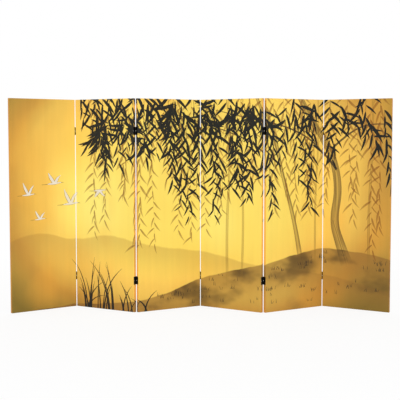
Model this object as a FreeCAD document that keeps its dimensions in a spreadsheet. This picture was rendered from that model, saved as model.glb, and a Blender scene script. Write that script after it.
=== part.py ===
import FreeCAD, Part
import Sketcher
import math
import os

# Folding screen of six printed canvas panels. Each canvas is stretched round a wooden frame, and
# double-action hinges join the panels, so every fold can close towards the front or the back.
# Millimetres, +Z up, -Y to the front. The origin is on the floor, under the middle of the screen.
# One panel has a frame of its own: X from its left edge, Y from its middle plane, Z from the floor.
# One hinge has a frame of its own: X and Y from the middle of the gap, Z from half its height.

os.makedirs("parts", exist_ok=True)
doc = FreeCAD.newDocument("folding_screen")

PANEL_COUNT = 6
SIZES = (
    ("panel_width", 400, "one panel over its wrapped edges"),
    ("panel_height", 1200, "one panel from the floor to its top edge"),
    ("panel_thickness", 19, "one panel from front print to back print"),
    ("panel_gap", 1.9, "slot between two panels opened flat"),
    ("canvas_thickness", 0.5, "primed and printed canvas"),
    ("canvas_hem", 22, "width of the front canvas turned onto the back"),
    ("back_margin", 2.5, "how far the back canvas stops short of the edges"),
    ("stile_width", 32, "face width of an upright frame bar"),
    ("rail_height", 32, "face width of the top and bottom bars"),
    ("mid_rail_height", 45, "face width of the bar at half height"),
    ("tenon_length", 14, "how far a rail's tongue enters the stile"),
    ("tenon_thickness", 6, "thickness of a rail's tongue"),
    ("tenon_shoulder", 6, "step above and below the tongue"),
    ("mortise_clearance", 0.5, "empty depth left past the tongue's end"),
    ("bar_chamfer", 1, "eased outer arrises of the upright bars"),
    ("hinge_height", 44.5, "one hinge from end to end"),
    ("hinge_inset", 180, "middle of a hinge from the nearer panel end"),
    ("knuckle_gap", 4.0, "bare pin between the two knuckles"),
    ("knuckle_radius", 2.05, "outside of a rolled knuckle"),
    ("knuckle_clearance", 0.4, "free space round a knuckle"),
    ("leaf_thickness", 0.5, "steel of the leaves screwed to the panels"),
    ("leaf_setback", 0.3, "leaf's plain edge from the panel's face"),
    ("link_thickness", 0.4, "steel of the middle plate between the two pins"),
    ("pin_offset", 2.1, "pin centre outside the panel's face"),
    ("pin_radius", 1.1, "hinge pin"),
    ("pin_clearance", 0.05, "radial play of a leaf's knuckle on its pin"),
    ("pin_end_play", 0.15, "space between a knuckle and the pin's head"),
    ("pin_head_radius", 1.7, "peened head of a pin"),
    ("pin_head_height", 0.7, "height of that head"),
    ("screw_spacing", 27, "between the two screws of a leaf"),
    ("screw_length", 15, "countersunk wood screw over all"),
    ("screw_head_radius", 2.0, "countersunk head"),
    ("screw_shank_radius", 1.3, "threaded shank"),
    ("screw_tip_length", 3, "pointed end"),
    ("screw_clearance", 0.1, "drilled hole around a screw, and past its tip"),
    ("recess_width", 0.6, "one slot of the cross recess"),
    ("recess_length", 2.2, "length of that slot"),
    ("recess_depth", 0.35, "depth of that slot"),
    ("cut_overrun", 1, "how far a cutting body runs past what it cuts"),
    ("fold_1", 63.96, "degrees from flat, first fold, closing to the front"),
    ("fold_2", 58.78, "degrees from flat, second fold, closing to the back"),
    ("fold_3", 61.32, "degrees from flat, third fold, closing to the front"),
    ("fold_4", 62.62, "degrees from flat, fourth fold, closing to the back"),
    ("fold_5", 60.80, "degrees from flat, fifth fold, closing to the front"),
)

sheet = doc.addObject("Spreadsheet::Sheet", "dim")
for row, (alias, value, note) in enumerate(SIZES, start=1):
    sheet.set(f"A{row}", note)
    sheet.set(f"B{row}", str(value))
    sheet.setAlias(f"B{row}", alias)
doc.recompute()

# Places that several pieces share, as expressions on the sheet
FRAME_DEPTH = "(dim.panel_thickness - 3 * dim.canvas_thickness)"
FRAME_HEIGHT = "(dim.panel_height - 2 * dim.canvas_thickness)"
FRAME_FRONT = "(dim.canvas_thickness - dim.panel_thickness / 2)"
FRAME_MIDDLE = "(-dim.canvas_thickness / 2)"
RAIL_SPAN = "(dim.panel_width - 2 * dim.canvas_thickness - 2 * dim.stile_width)"
TOP_RAIL_LOW = "(dim.panel_height - dim.canvas_thickness - dim.rail_height)"
MID_RAIL_LOW = "((dim.panel_height - dim.mid_rail_height) / 2)"
PIN_OUT = "(dim.panel_thickness / 2 + dim.pin_offset)"
KNUCKLE_HEIGHT = "((dim.hinge_height - dim.knuckle_gap) / 2)"
HINGE_LOW = "dim.hinge_inset"
HINGE_HIGH = "(dim.panel_height - dim.hinge_inset)"
LEAF_FACE = "(dim.leaf_thickness - dim.panel_gap / 2)"
ABOUT_Z = FreeCAD.Vector(0, 0, 1)
ABOUT_Y = FreeCAD.Vector(0, 1, 0)
HALF_TURN = 180
QUARTER_TURN = 90


def size(alias):
    """The value of one driving dimension."""
    return float(sheet.get(alias))


def bind(obj, bindings):
    """Ties properties of an object to expressions on the sheet."""
    for name, text in bindings.items():
        obj.setExpression(name, text)
    return obj


def at(obj, x, y, z, turn=None):
    """Puts an object's origin at three expressions, after an optional turn."""
    if turn:
        obj.Placement = FreeCAD.Placement(FreeCAD.Vector(), turn)
    return bind(obj, {"Placement.Base.x": x, "Placement.Base.y": y, "Placement.Base.z": z})


def box(name, corner, wide, deep, tall):
    """A box from its low corner and its three sizes."""
    obj = doc.addObject("Part::Box", name)
    bind(obj, {"Length": wide, "Width": deep, "Height": tall})
    return at(obj, *corner)


def rod(name, base, radius, height, turn=None):
    """A round bar that starts at its base and runs up, or along the turned axis."""
    obj = doc.addObject("Part::Cylinder", name)
    bind(obj, {"Radius": radius, "Height": height})
    return at(obj, *base, turn)


def taper(name, base, base_radius, end_radius, height, turn=None):
    """A cone or a countersink, from the radius at its base to the one at its end."""
    obj = doc.addObject("Part::Cone", name)
    bind(obj, {"Radius1": base_radius, "Radius2": end_radius, "Height": height})
    return at(obj, *base, turn)


def fuse(name, pieces):
    """One solid from several that meet."""
    obj = doc.addObject("Part::MultiFuse", name)
    obj.Shapes = pieces
    obj.Refine = True
    return obj


def cut(name, base, tools):
    """The base with all the tools taken out of it."""
    group = tools[0]
    if len(tools) > 1:
        group = doc.addObject("Part::Compound", f"{name}_tools")
        group.Links = tools
    obj = doc.addObject("Part::Cut", name)
    obj.Base = base
    obj.Tool = group
    return obj


def copies(name, sources):
    """A group of separate solids, or a copy of one that gets a place of its own."""
    obj = doc.addObject("Part::Compound", name)
    obj.Links = sources
    return obj


def body_plane(body, role):
    """One of a body's own origin planes."""
    return next(plane for plane in body.Origin.OriginFeatures if plane.Role == role)


def sketch_on(body, role, name, offset="0"):
    """A sketch on one of the body's planes, moved along that plane's normal."""
    sketch = body.newObject("Sketcher::SketchObject", name)
    sketch.AttachmentSupport = [(body_plane(body, role), "")]
    sketch.MapMode = "FlatFace"
    sketch.setExpression("AttachmentOffset.Base.z", offset)
    return sketch


def add_rectangle(sketch, left, low, wide, high):
    """A rectangle whose place and sizes are expressions. Its low corner has positive X or none."""
    first = sketch.GeometryCount
    shares = ((0, 0), (1, 0), (1, 1), (0, 1))
    start = FreeCAD.Vector(size("panel_thickness"), size("panel_thickness"), 0)
    reach = size("stile_width")
    points = [start + FreeCAD.Vector(reach * x, reach * y, 0) for x, y in shares]
    for side in range(4):
        sketch.addGeometry(Part.LineSegment(points[side], points[(side + 1) % 4]), False)
    for side in range(4):
        sketch.addConstraint(
            Sketcher.Constraint("Coincident", first + side, 2, first + (side + 1) % 4, 1)
        )
    for side, kind in enumerate(("Horizontal", "Vertical", "Horizontal", "Vertical")):
        sketch.addConstraint(Sketcher.Constraint(kind, first + side))
    for kind, start_at, end_at, text in (
        ("DistanceX", (first, 1), (first, 2), wide),
        ("DistanceY", (first + 1, 1), (first + 1, 2), high),
        ("DistanceX", (-1, 1), (first, 1), left),
        ("DistanceY", (-1, 1), (first, 1), low),
    ):
        index = sketch.addConstraint(Sketcher.Constraint(kind, *start_at, *end_at, reach))
        sketch.setExpression(f"Constraints[{index}]", text)


def stile_body():
    """Upright bar: outer face at X 0, middle plane at Y 0, with a mortise for each rail."""
    body = doc.addObject("PartDesign::Body", "stile")
    outline = sketch_on(body, "XY_Plane", "stile_section")
    add_rectangle(outline, "0", f"-{FRAME_DEPTH} / 2", "dim.stile_width", FRAME_DEPTH)
    bar = body.newObject("PartDesign::Pad", "stile_bar")
    bar.Profile = outline
    bar.setExpression("Length", FRAME_HEIGHT)
    doc.recompute()
    arrises = []
    for number, edge in enumerate(bar.Shape.Edges, start=1):
        ends = [vertex.Point for vertex in edge.Vertexes]
        if all(abs(point.x) < size("bar_chamfer") for point in ends) and ends[0].z != ends[1].z:
            arrises.append(f"Edge{number}")
    eased = body.newObject("PartDesign::Chamfer", "stile_arrises")
    eased.Base = (bar, arrises)
    eased.setExpression("Size", "dim.bar_chamfer")
    mortises = sketch_on(body, "YZ_Plane", "mortise_outlines", "dim.stile_width")
    for low, high in (
        ("0", "dim.rail_height"),
        (f"{MID_RAIL_LOW} - dim.canvas_thickness", "dim.mid_rail_height"),
        (f"{TOP_RAIL_LOW} - dim.canvas_thickness", "dim.rail_height"),
    ):
        add_rectangle(
            mortises,
            "-dim.tenon_thickness / 2",
            f"{low} + dim.tenon_shoulder",
            "dim.tenon_thickness",
            f"{high} - 2 * dim.tenon_shoulder",
        )
    pocket = body.newObject("PartDesign::Pocket", "mortises")
    pocket.Profile = mortises
    pocket.setExpression("Length", "dim.tenon_length + dim.mortise_clearance")
    body.Tip = pocket
    return body


def rail_body(name, height):
    """Level bar between the stiles, from X 0 to the other stile, with a tongue on each end."""
    body = doc.addObject("PartDesign::Body", name)
    outline = sketch_on(body, "YZ_Plane", f"{name}_section")
    add_rectangle(outline, f"-{FRAME_DEPTH} / 2", "0", FRAME_DEPTH, height)
    bar = body.newObject("PartDesign::Pad", f"{name}_bar")
    bar.Profile = outline
    bar.setExpression("Length", RAIL_SPAN)
    tongue = sketch_on(body, "YZ_Plane", f"{name}_tongue_section", "-dim.tenon_length")
    add_rectangle(
        tongue,
        "-dim.tenon_thickness / 2",
        "dim.tenon_shoulder",
        "dim.tenon_thickness",
        f"{height} - 2 * dim.tenon_shoulder",
    )
    tenons = body.newObject("PartDesign::Pad", f"{name}_tenons")
    tenons.Profile = tongue
    tenons.setExpression("Length", f"{RAIL_SPAN} + 2 * dim.tenon_length")
    body.Tip = tenons
    return body


def leaf_solid():
    """Leaf on the right edge of a panel, its upper knuckle round the front pin."""
    low = "-dim.hinge_height / 2"
    plate = box(
        "leaf_plate",
        ("-dim.panel_gap / 2", f"-{PIN_OUT}", low),
        "dim.leaf_thickness",
        f"{PIN_OUT} + dim.panel_thickness / 2 - dim.leaf_setback",
        "dim.hinge_height",
    )
    relief = rod(
        "leaf_relief",
        ("0", f"-{PIN_OUT}", f"{low} - dim.cut_overrun"),
        "dim.knuckle_radius + dim.knuckle_clearance",
        f"dim.hinge_height - {KNUCKLE_HEIGHT} + dim.cut_overrun",
    )
    knuckle = rod(
        "leaf_knuckle",
        ("0", f"-{PIN_OUT}", f"dim.hinge_height / 2 - {KNUCKLE_HEIGHT}"),
        "dim.knuckle_radius",
        KNUCKLE_HEIGHT,
    )
    bore = rod(
        "leaf_bore",
        ("0", f"-{PIN_OUT}", f"{low} - dim.cut_overrun"),
        "dim.pin_radius + dim.pin_clearance",
        "dim.hinge_height + 2 * dim.cut_overrun",
    )
    blank = fuse("leaf_blank", [cut("leaf_notched", plate, [relief]), knuckle])
    countersinks = []
    for number, side in enumerate(("-", ""), start=1):
        level = f"{side}dim.screw_spacing / 2"
        countersinks.append(
            taper(
                f"countersink_{number}",
                (LEAF_FACE, "0", level),
                "dim.screw_head_radius + dim.screw_clearance",
                "dim.screw_shank_radius + dim.screw_clearance",
                "dim.leaf_thickness",
                INTO_PANEL,
            )
        )
    return cut("leaf", blank, [bore, *countersinks])


def link_solid():
    """Middle plate of a hinge, with a lower knuckle round the front pin and the back pin."""
    low = "-dim.hinge_height / 2"
    plate = box(
        "link_plate",
        ("-dim.link_thickness / 2", f"-{PIN_OUT}", low),
        "dim.link_thickness",
        f"2 * {PIN_OUT}",
        "dim.hinge_height",
    )
    reliefs, knuckles, bores = [], [], []
    for end, side in (("front", "-"), ("back", "")):
        line = f"{side}{PIN_OUT}"
        reliefs.append(
            rod(
                f"link_relief_{end}",
                ("0", line, f"{low} + {KNUCKLE_HEIGHT}"),
                "dim.knuckle_radius + dim.knuckle_clearance",
                f"dim.hinge_height - {KNUCKLE_HEIGHT} + dim.cut_overrun",
            )
        )
        knuckles.append(
            rod(f"link_knuckle_{end}", ("0", line, low), "dim.knuckle_radius", KNUCKLE_HEIGHT)
        )
        bores.append(
            rod(
                f"link_bore_{end}",
                ("0", line, f"{low} - dim.cut_overrun"),
                "dim.pin_radius",
                "dim.hinge_height + 2 * dim.cut_overrun",
            )
        )
    blank = fuse("link_blank", [cut("link_notched", plate, reliefs), *knuckles])
    return cut("link", blank, bores)


def pin_solid():
    """Hinge pin with a peened head at each end, upright on the hinge's own middle."""
    half = "(dim.hinge_height / 2 + dim.pin_end_play)"
    shank = rod("pin_shank", ("0", "0", f"-{half}"), "dim.pin_radius", f"2 * {half}")
    crown = "dim.pin_head_radius - dim.pin_head_height / 2"
    upper = taper(
        "pin_head_upper", ("0", "0", half), "dim.pin_head_radius", crown, "dim.pin_head_height"
    )
    lower = taper(
        "pin_head_lower",
        ("0", "0", f"-{half} - dim.pin_head_height"),
        crown,
        "dim.pin_head_radius",
        "dim.pin_head_height",
    )
    return fuse("pin", [shank, upper, lower])


def screw_solid():
    """Countersunk screw along -X, its flat head flush with the leaf of the hinge."""
    head = taper(
        "screw_head",
        (LEAF_FACE, "0", "0"),
        "dim.screw_head_radius",
        "dim.screw_shank_radius",
        "dim.leaf_thickness",
        INTO_PANEL,
    )
    shank = rod(
        "screw_shank",
        (f"{LEAF_FACE} - dim.leaf_thickness", "0", "0"),
        "dim.screw_shank_radius",
        "dim.screw_length - dim.leaf_thickness - dim.screw_tip_length",
        INTO_PANEL,
    )
    tip = taper(
        "screw_tip",
        (f"{LEAF_FACE} - dim.screw_length + dim.screw_tip_length", "0", "0"),
        "dim.screw_shank_radius",
        "0",
        "dim.screw_tip_length",
        INTO_PANEL,
    )
    recess_floor = f"{LEAF_FACE} - dim.recess_depth"
    long_half = "-dim.recess_length / 2"
    wide_half = "-dim.recess_width / 2"
    depth = "dim.recess_depth + dim.cut_overrun"
    level_slot = box(
        "recess_level",
        (recess_floor, long_half, wide_half),
        depth,
        "dim.recess_length",
        "dim.recess_width",
    )
    upright_slot = box(
        "recess_upright",
        (recess_floor, wide_half, long_half),
        depth,
        "dim.recess_width",
        "dim.recess_length",
    )
    return cut("screw", fuse("screw_blank", [head, shank, tip]), [level_slot, upright_slot])


def on_edges(name, source):
    """Copies of one hinge piece at both hinges of a panel's right edge, and of its left edge."""
    right, left = [], []
    for level, height in (("low", HINGE_LOW), ("high", HINGE_HIGH)):
        piece = copies(f"{name}_right_{level}", [source])
        right.append(at(piece, "dim.panel_width + dim.panel_gap / 2", "0", height))
        piece = copies(f"{name}_left_{level}", [source])
        turned = FreeCAD.Rotation(ABOUT_Z, HALF_TURN)
        left.append(at(piece, "-dim.panel_gap / 2", "0", height, turned))
    return {"right": copies(f"{name}_right", right), "left": copies(f"{name}_left", left)}


def canvas_front(name, drills):
    """Front canvas: the print, its four wrapped edges and the hem turned onto the back."""
    outside = box(
        f"{name}_outside",
        ("0", "-dim.panel_thickness / 2", "0"),
        "dim.panel_width",
        "dim.panel_thickness - dim.canvas_thickness",
        "dim.panel_height",
    )
    inside = box(
        f"{name}_inside",
        ("dim.canvas_thickness", FRAME_FRONT, "dim.canvas_thickness"),
        "dim.panel_width - 2 * dim.canvas_thickness",
        FRAME_DEPTH,
        FRAME_HEIGHT,
    )
    window = box(
        f"{name}_window",
        ("dim.canvas_hem", "0", "dim.canvas_hem"),
        "dim.panel_width - 2 * dim.canvas_hem",
        "dim.panel_thickness / 2",
        "dim.panel_height - 2 * dim.canvas_hem",
    )
    return cut(name, outside, [inside, window, *drills])


INTO_PANEL = FreeCAD.Rotation(ABOUT_Y, -QUARTER_TURN)

# Single pieces, each in its own frame
stile = stile_body()
cross_rail = rail_body("cross_rail", "dim.rail_height")
mid_rail = rail_body("mid_rail", "dim.mid_rail_height")
leaf_blank = leaf_solid()
link = link_solid()
pin = pin_solid()
screw = screw_solid()
drill = rod(
    "drill",
    ("0", "0", "0"),
    "dim.screw_shank_radius + dim.screw_clearance",
    "dim.screw_length + dim.panel_gap / 2 - dim.leaf_thickness + dim.screw_clearance",
    INTO_PANEL,
)


def screw_pair(name, source):
    """A screw, or a drill, at both screw places of one leaf."""
    pair = []
    for number, side in enumerate(("-", ""), start=1):
        piece = copies(f"{name}_{number}", [source])
        pair.append(at(piece, "0", "0", f"{side}dim.screw_spacing / 2"))
    return copies(name, pair)


drill_pair = screw_pair("drill_pair", drill)
leaf = cut("leaf_drilled", leaf_blank, [drill_pair])

# Pieces in a panel's frame
leaves = on_edges("leaves", leaf)
screws = on_edges("screws", screw_pair("screw_pair", screw))
drills = on_edges("drills", drill_pair)
left_stile = at(copies("left_stile", [stile]), "dim.canvas_thickness", FRAME_MIDDLE, "dim.canvas_thickness")
right_stile = at(
    copies("right_stile", [stile]),
    "dim.panel_width - dim.canvas_thickness",
    FRAME_MIDDLE,
    "dim.canvas_thickness",
    FreeCAD.Rotation(ABOUT_Z, HALF_TURN),
)
stiles = {
    ("left", False): left_stile,
    ("right", False): right_stile,
    ("left", True): cut("left_stile_drilled", left_stile, [drills["left"]]),
    ("right", True): cut("right_stile_drilled", right_stile, [drills["right"]]),
}
rail_left = "dim.canvas_thickness + dim.stile_width"
cross_rails = [
    at(copies("bottom_rail", [cross_rail]), rail_left, FRAME_MIDDLE, "dim.canvas_thickness"),
    at(copies("top_rail", [cross_rail]), rail_left, FRAME_MIDDLE, TOP_RAIL_LOW),
]
middle_rail = at(copies("middle_rail", [mid_rail]), rail_left, FRAME_MIDDLE, MID_RAIL_LOW)
canvas_fronts = {
    (False, True): canvas_front("canvas_first", [drills["right"]]),
    (True, True): canvas_front("canvas_inner", [drills["left"], drills["right"]]),
    (True, False): canvas_front("canvas_last", [drills["left"]]),
}
canvas_back = box(
    "canvas_back",
    ("dim.back_margin", "dim.panel_thickness / 2 - dim.canvas_thickness", "dim.back_margin"),
    "dim.panel_width - 2 * dim.back_margin",
    "dim.canvas_thickness",
    "dim.panel_height - 2 * dim.back_margin",
)

# Pieces in a hinge's frame, at both heights
link_pair, pin_group = [], []
for level, height in (("low", HINGE_LOW), ("high", HINGE_HIGH)):
    link_pair.append(at(copies(f"link_{level}", [link]), "0", "0", height))
    for end, side in (("front", "-"), ("back", "")):
        pin_copy = copies(f"pin_{end}_{level}", [pin])
        pin_group.append(at(pin_copy, "0", f"{side}{PIN_OUT}", height))


def turned(angle):
    """Turn about Z by an angle in degrees."""
    return FreeCAD.Rotation(ABOUT_Z, angle)


def zigzag():
    """Places of the panels and of the hinge links, chained from the first panel."""
    pin_out = size("panel_thickness") / 2 + size("pin_offset")
    half_gap = size("panel_gap") / 2
    width = size("panel_width")
    panels = [FreeCAD.Placement()]
    links = []
    for fold in range(1, PANEL_COUNT):
        to_front = fold % 2 == 1
        side = -pin_out if to_front else pin_out
        bend = -size(f"fold_{fold}") if to_front else size(f"fold_{fold}")
        hinge = panels[-1] * FreeCAD.Placement(FreeCAD.Vector(width + half_gap, 0, 0), turned(0))
        swing = FreeCAD.Placement(FreeCAD.Vector(0, side, 0), turned(bend)) * FreeCAD.Placement(
            FreeCAD.Vector(0, -side, 0), turned(0)
        )
        folded = hinge * swing
        links.append(folded if to_front else hinge)
        panels.append(folded * FreeCAD.Placement(FreeCAD.Vector(half_gap, 0, 0), turned(0)))
    return panels, links


def standing(panels, links):
    """Moves the zigzag so that its ends are level and its box is centred on the origin."""
    width, front = size("panel_width"), -size("panel_thickness") / 2
    pin_out = size("panel_thickness") / 2 + size("pin_offset")
    start = panels[0].multVec(FreeCAD.Vector(0, front, 0))
    end = panels[-1].multVec(FreeCAD.Vector(width, front, 0))
    level = FreeCAD.Placement(
        FreeCAD.Vector(), turned(-math.degrees(math.atan2(end.y - start.y, end.x - start.x)))
    )
    reach = []
    for place in panels:
        for x in (0, width):
            for y in (front, -front):
                corner = level.multVec(place.multVec(FreeCAD.Vector(x, y, 0)))
                reach.append((corner, 0))
    for place in links:
        for y in (-pin_out, pin_out):
            centre = level.multVec(place.multVec(FreeCAD.Vector(0, y, 0)))
            reach.append((centre, size("knuckle_radius")))
    low_x = min(point.x - radius for point, radius in reach)
    high_x = max(point.x + radius for point, radius in reach)
    low_y = min(point.y - radius for point, radius in reach)
    high_y = max(point.y + radius for point, radius in reach)
    centre = FreeCAD.Vector(-(low_x + high_x) / 2, -(low_y + high_y) / 2, 0)
    shift = FreeCAD.Placement(centre, turned(0)) * level
    return [shift * place for place in panels], [shift * place for place in links]


panel_places, link_places = standing(*zigzag())
nodes = []


def node(name, sources, place):
    """One named piece of the screen, or one group of like pieces, at its place."""
    obj = copies(name, sources)
    obj.Label = name
    obj.Placement = place
    nodes.append(obj)


for number, place in enumerate(panel_places, start=1):
    on_left, on_right = number > 1, number < PANEL_COUNT
    sides = [side for side, hinged in (("left", on_left), ("right", on_right)) if hinged]
    node(f"stile_left_{number}", [stiles["left", on_left]], place)
    node(f"stile_right_{number}", [stiles["right", on_right]], place)
    node(f"cross_rails_{number}", cross_rails, place)
    node(f"mid_rail_{number}", [middle_rail], place)
    node(f"canvas_front_{number}", [canvas_fronts[on_left, on_right]], place)
    node(f"canvas_back_{number}", [canvas_back], place)
    node(f"hinge_leaves_{number}", [leaves[side] for side in sides], place)
    node(f"hinge_screws_{number}", [screws[side] for side in sides], place)
for number, place in enumerate(link_places, start=1):
    node(f"hinge_links_{number}", link_pair, place)
    node(f"hinge_pins_{number}", pin_group, place)

doc.recompute()
for obj in doc.Objects:
    if "Invalid" in obj.State or "Error" in obj.State:
        raise RuntimeError(f"{obj.Name} did not build: {obj.State}")
for obj in nodes:
    if obj.Shape.isNull() or not obj.Shape.isValid():
        raise RuntimeError(f"{obj.Label} has no valid shape")
for obj in nodes:
    obj.Shape.exportStep(f"parts/{obj.Label}.step")
print(f"{len(nodes)} nodes, {sum(len(obj.Shape.Solids) for obj in nodes)} solids")
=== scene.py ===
"""A folding screen of six printed canvas panels, standing in a zigzag on a pale floor."""

import math
import random

import bpy
from mathutils import Matrix, Vector
from mathutils.geometry import delaunay_2d_cdt
from mathutils.interpolate import poly_3d_calc


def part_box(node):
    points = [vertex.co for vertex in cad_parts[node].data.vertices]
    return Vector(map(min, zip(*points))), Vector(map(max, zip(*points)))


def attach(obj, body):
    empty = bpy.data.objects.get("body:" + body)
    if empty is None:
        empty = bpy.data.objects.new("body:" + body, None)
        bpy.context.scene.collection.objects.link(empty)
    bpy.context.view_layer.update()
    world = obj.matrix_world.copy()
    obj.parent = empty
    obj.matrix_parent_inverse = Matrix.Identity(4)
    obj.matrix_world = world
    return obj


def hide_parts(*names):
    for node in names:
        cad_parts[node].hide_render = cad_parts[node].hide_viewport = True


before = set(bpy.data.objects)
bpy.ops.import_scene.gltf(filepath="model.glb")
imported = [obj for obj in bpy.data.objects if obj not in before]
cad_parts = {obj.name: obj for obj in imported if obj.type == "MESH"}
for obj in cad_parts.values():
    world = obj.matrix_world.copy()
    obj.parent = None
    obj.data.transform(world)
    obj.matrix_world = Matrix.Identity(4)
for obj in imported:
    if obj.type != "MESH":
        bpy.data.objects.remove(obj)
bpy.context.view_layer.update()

MM = 0.001
PANELS = range(1, 7)
FOLDS = range(1, 6)

# Canvas
CANVAS_THICKNESS = 0.5 * MM
FOLD_RADIUS = 0.7 * MM
INNER_RADIUS = FOLD_RADIUS - CANVAS_THICKNESS
HEM_WIDTH = 22 * MM
BACK_MARGIN = 2.5 * MM
DRAWN_THREAD_PITCH = 1.4 * MM
ARC_STEPS = 3
MERGE_DISTANCE = 0.02 * MM
SEWING_TRIES = 4
CORNERS = ((0, 0), (1, 0), (1, 1), (0, 1))

# Picture, measured from the left edge of the first panel and from the floor
PANEL_PITCH = 400 * MM
PICTURE_WIDTH = 2400 * MM
PICTURE_HEIGHT = 1200 * MM

# Wood, whose slanting bands come out about twice as far apart along a face
RING_SPACING = 6 * MM

# Where a leaf mark is widest, as a share of its length
LEAF_BELLY = 0.38

# Studio and camera, the camera fitted to the photograph
FLOOR_SIZE = 60
SKY_STRENGTH = 0.72
LAMP_SIZE = 4.0
LAMP_AIM = (0, 0, 0.6)
SENSOR_WIDTH = 36
FOCAL_LENGTH = 80.020
CAMERA_PLACE = (-0.059485, -5.056879, 0.976694)
CAMERA_DIP = 0.068916
CAMERA_TURN = -0.011131


def linear(hex_code):
    """The linear colour of an sRGB hex code, with full cover."""
    shares = [int(hex_code[i : i + 2], 16) / 255 for i in (1, 3, 5)]
    return tuple(
        s / 12.92 if s <= 0.04045 else ((s + 0.055) / 1.055) ** 2.4 for s in shares
    ) + (1.0,)


def add(tree, kind, values=(), **settings):
    """Adds one node with its settings, and its inputs given as constants or output sockets."""
    made = tree.nodes.new(kind)
    for name, value in settings.items():
        setattr(made, name, value)
    for socket, value in dict(values).items():
        if isinstance(value, bpy.types.NodeSocket):
            tree.links.new(value, made.inputs[socket])
        else:
            made.inputs[socket].default_value = value
    return made


def maths(tree, operation, *values):
    """The output of one Math node."""
    return add(tree, "ShaderNodeMath", dict(enumerate(values)), operation=operation).outputs[0]


def mixed(tree, share, first, second, blend="MIX"):
    """The output of one colour Mix node."""
    return add(
        tree,
        "ShaderNodeMix",
        {0: share, 6: first, 7: second},
        data_type="RGBA",
        blend_type=blend,
    ).outputs[2]


def ranged(tree, value, low, high, new_low=0.0, new_high=1.0):
    """A value smoothly mapped from one range to another."""
    return add(
        tree,
        "ShaderNodeMapRange",
        {0: value, 1: low, 2: high, 3: new_low, 4: new_high},
        interpolation_type="SMOOTHSTEP",
    ).outputs[0]


def ramp(tree, share, stops):
    """A colour ramp of (place, hex code) stops."""
    made = add(tree, "ShaderNodeValToRGB", {0: share})
    made.color_ramp.interpolation = "CARDINAL"
    elements = made.color_ramp.elements
    while len(elements) < len(stops):
        elements.new(0.5)
    for element, (place, hex_code) in zip(elements, stops):
        element.position = place
        element.color = linear(hex_code)
    return made.outputs[0]


def mapped(tree, where, moves):
    """Texture coordinates moved, turned or scaled by one Mapping node."""
    return add(tree, "ShaderNodeMapping", {"Vector": where, **moves}).outputs[0]


def noise_at(tree, where, scale, detail):
    """The output of one Noise texture."""
    values = {"Vector": where, "Scale": scale, "Detail": detail}
    return add(tree, "ShaderNodeTexNoise", values).outputs[0]


def bands(tree, where, way, spacing, distortion, detail, detail_scale):
    """The shade of one Wave texture, which repeats 20 times in a full turn at a scale of 1."""
    values = {
        "Vector": where,
        "Scale": math.tau / 20 / spacing,
        "Distortion": distortion,
        "Detail": detail,
        "Detail Scale": detail_scale,
    }
    return add(tree, "ShaderNodeTexWave", values, bands_direction=way).outputs[1]


def seen_rays(tree):
    """1 for rays that show the background, straight or in a reflection, and 0 for rays that light."""
    rays = add(tree, "ShaderNodeLightPath").outputs
    seen = maths(tree, "MAXIMUM", rays["Is Camera Ray"], rays["Is Glossy Ray"])
    return maths(tree, "MAXIMUM", seen, rays["Is Transmission Ray"])


def raised(tree, shader, height, strength, distance):
    """Gives a shader's surface a bump from a height."""
    values = {"Strength": strength, "Distance": distance, "Height": height}
    bump = add(tree, "ShaderNodeBump", values).outputs[0]
    tree.links.new(bump, shader.inputs["Normal"])


def new_material(name):
    """A material with one principled shader, as (material, tree, shader)."""
    made = bpy.data.materials.new(name)
    made.use_nodes = True
    tree = made.node_tree
    return made, tree, tree.nodes["Principled BSDF"]


# Places of the panels
def panel_place(number):
    """A panel's own frame, across its face, back from it and up, and its width, depth and height."""
    ends = [sum(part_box(f"stile_{side}_{number}"), Vector()) / 2 for side in ("left", "right")]
    across = (ends[1] - ends[0]).normalized()
    back = Vector((-across.y, across.x, 0))
    up = Vector((0, 0, 1))
    corners = [v.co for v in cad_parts[f"canvas_front_{number}"].data.vertices]
    reach = [[c.dot(way) for c in corners] for way in (across, back, up)]
    origin = sum((way * min(r) for way, r in zip((across, back, up), reach)), Vector())
    place = Matrix((across, back, up)).transposed().to_4x4()
    place.translation = origin
    return place, [max(r) - min(r) for r in reach]


# Drawing: flat strokes in the picture, made by one node tree and read back as outlines
def line_object(name, lines):
    """One curve object of smooth lines, each a list of (across, up, width share)."""
    data = bpy.data.curves.new(name, "CURVE")
    data.dimensions = "3D"
    data.twist_mode = "Z_UP"
    for line in lines:
        spline = data.splines.new("NURBS")
        spline.points.add(len(line) - 1)
        for point, (across, up, width_share) in zip(spline.points, line):
            point.co = (across, up, 0, 1)
            point.radius = width_share
        spline.order_u = 3
        spline.use_endpoint_u = True
        spline.resolution_u = 8
    made = bpy.data.objects.new(name, data)
    bpy.context.scene.collection.objects.link(made)
    return made


def mark_object(name, outline):
    """A flat mark of unit length: its outline is a list of (along, aside)."""
    data = bpy.data.meshes.new(name)
    data.from_pydata([(x, y, 0) for x, y in outline], [], [range(len(outline))])
    along = data.attributes.new("along", "FLOAT", "POINT")
    along.data.foreach_set("value", [x for x, _ in outline])
    made = bpy.data.objects.new(name, data)
    bpy.context.scene.collection.objects.link(made)
    return made


def leaf_mark(name, width_share, bend_share):
    """A pressed brush stroke: narrow start, full belly and a long fine tip."""
    power = math.log(0.5) / math.log(LEAF_BELLY)
    bow = 0.9 * math.pi
    upper, lower = [], []
    for s in (0.1, 0.22, 0.38, 0.58, 0.8):
        half = width_share / 2 * math.sin(math.pi * s**power) ** 0.85
        middle = bend_share * math.sin(bow * s)
        upper.append((s, middle + half))
        lower.append((s, middle - half))
    tip = (1.0, bend_share * math.sin(bow))
    return mark_object(name, [(0.0, 0.0)] + lower + [tip] + upper[::-1])


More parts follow.
